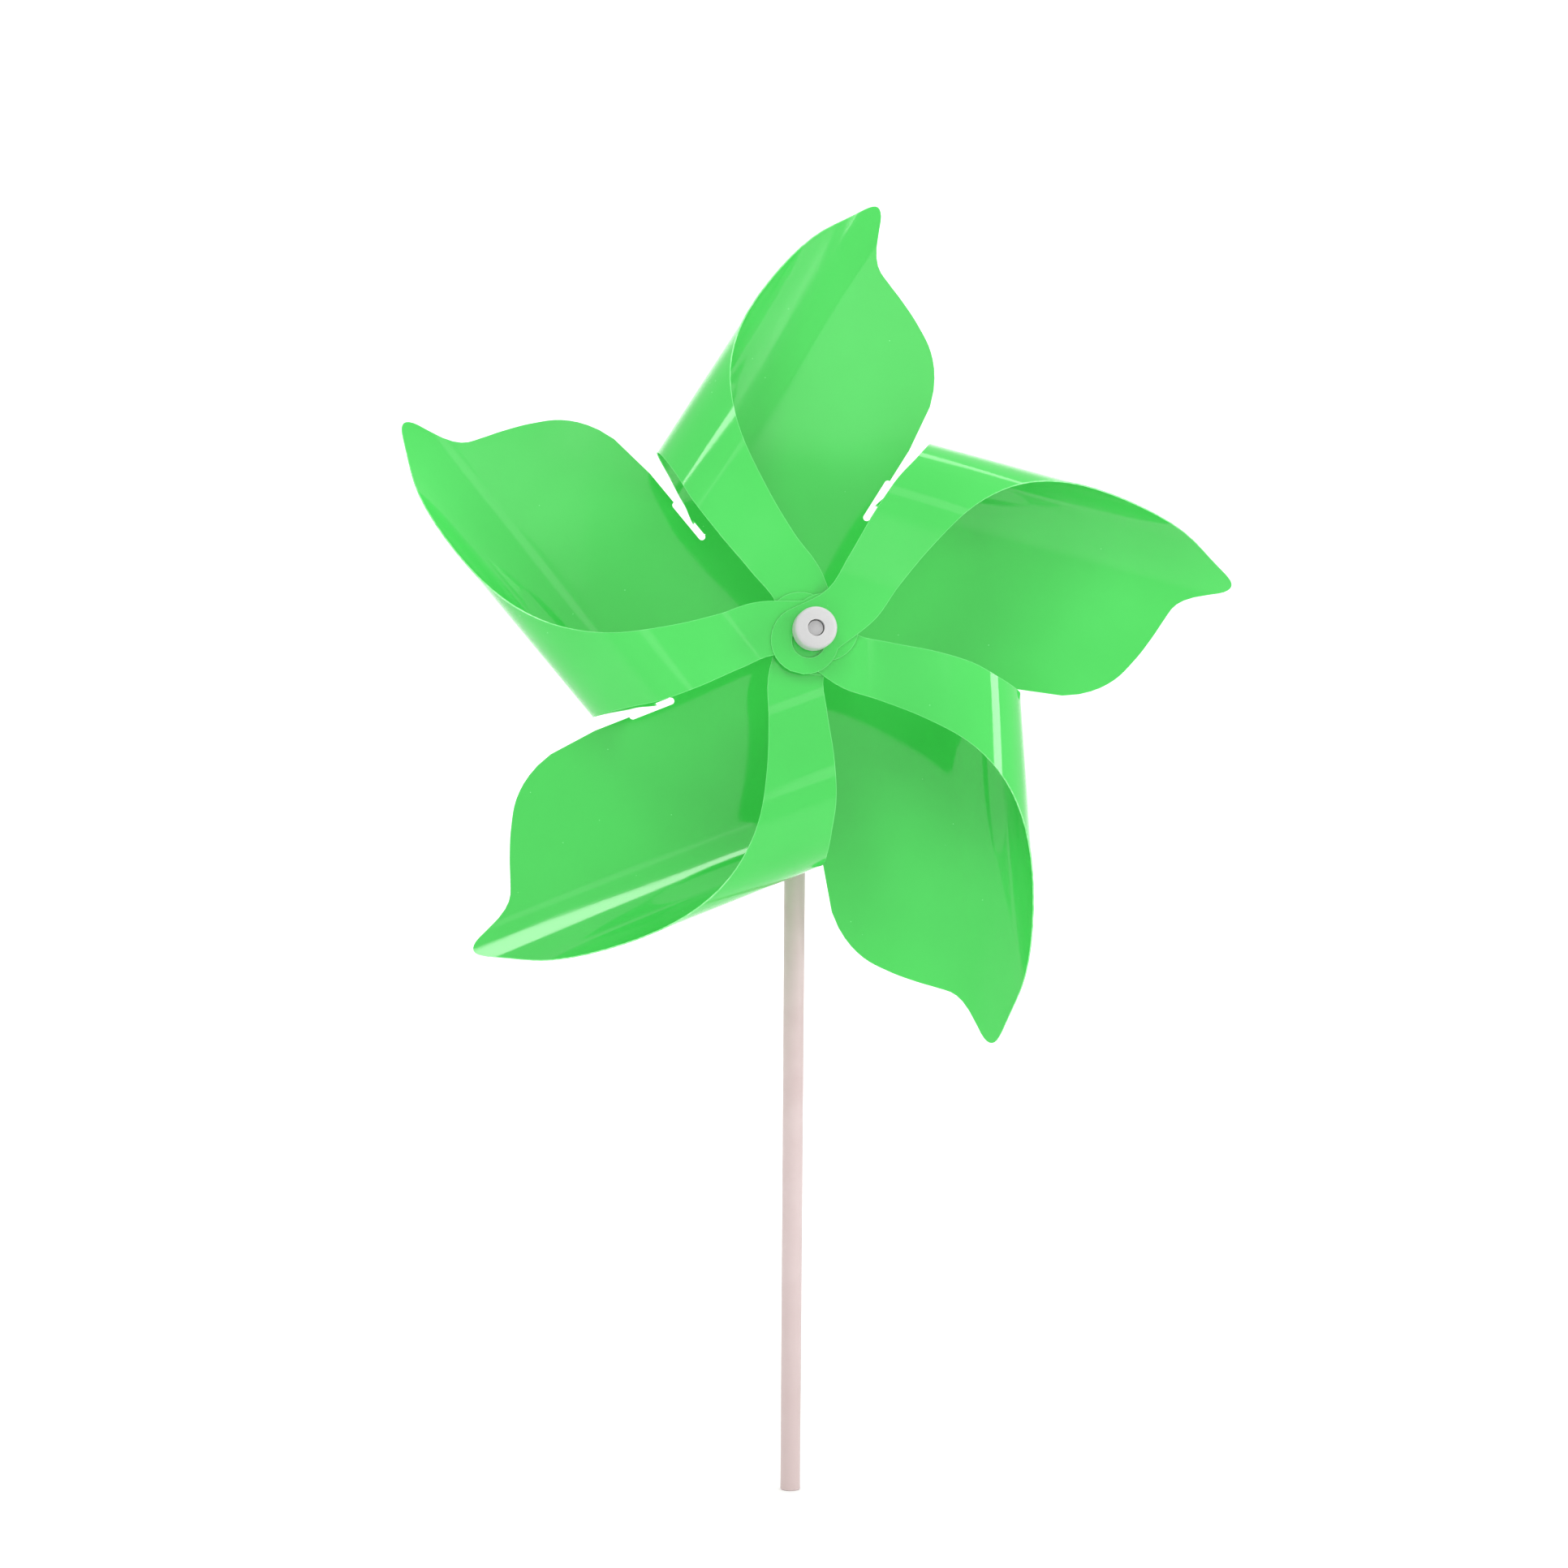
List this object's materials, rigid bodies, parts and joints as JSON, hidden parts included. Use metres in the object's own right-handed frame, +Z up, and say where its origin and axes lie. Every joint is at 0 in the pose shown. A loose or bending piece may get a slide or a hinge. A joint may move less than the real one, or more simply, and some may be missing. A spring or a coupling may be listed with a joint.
{
  "type": "pinwheel",
  "caption": "Toy pinwheel: a wheel die-cut and folded from one sheet of glossy plastic film, spinning on a pin at the top of a slim moulded stick.",
  "frame": {"origin": "centre of the stick's flat foot", "axes": "+Z up along the stick, -Y forwards along the axle, the way the wheel faces, +X to the right of someone who looks at the wheel's face"},
  "size_m": [0.2479, 0.0542, 0.3802],
  "materials": {
    "stick_plastic": "satin off-white moulded plastic",
    "hub_plastic": "satin white moulded plastic",
    "pin_plastic": "satin light grey moulded plastic",
    "green_film": "glossy bright green plastic film"
  },
  "bodies": {
    "stand": {"stick": "stick_plastic", "axle_holder": "stick_plastic", "axle_pin": "pin_plastic", "rear_washer": "hub_plastic", "hub_cap": "hub_plastic"},
    "wheel": {"spacer_tube": "hub_plastic", "wheel_sheet": "green_film"}
  },
  "joints": [
    {"name": "wheel_spin", "type": "hinge", "parent": "stand", "child": "wheel", "pos_m": [0, 0, 0.25], "axis": [0, -1, 0], "continuous": true}
  ]
}
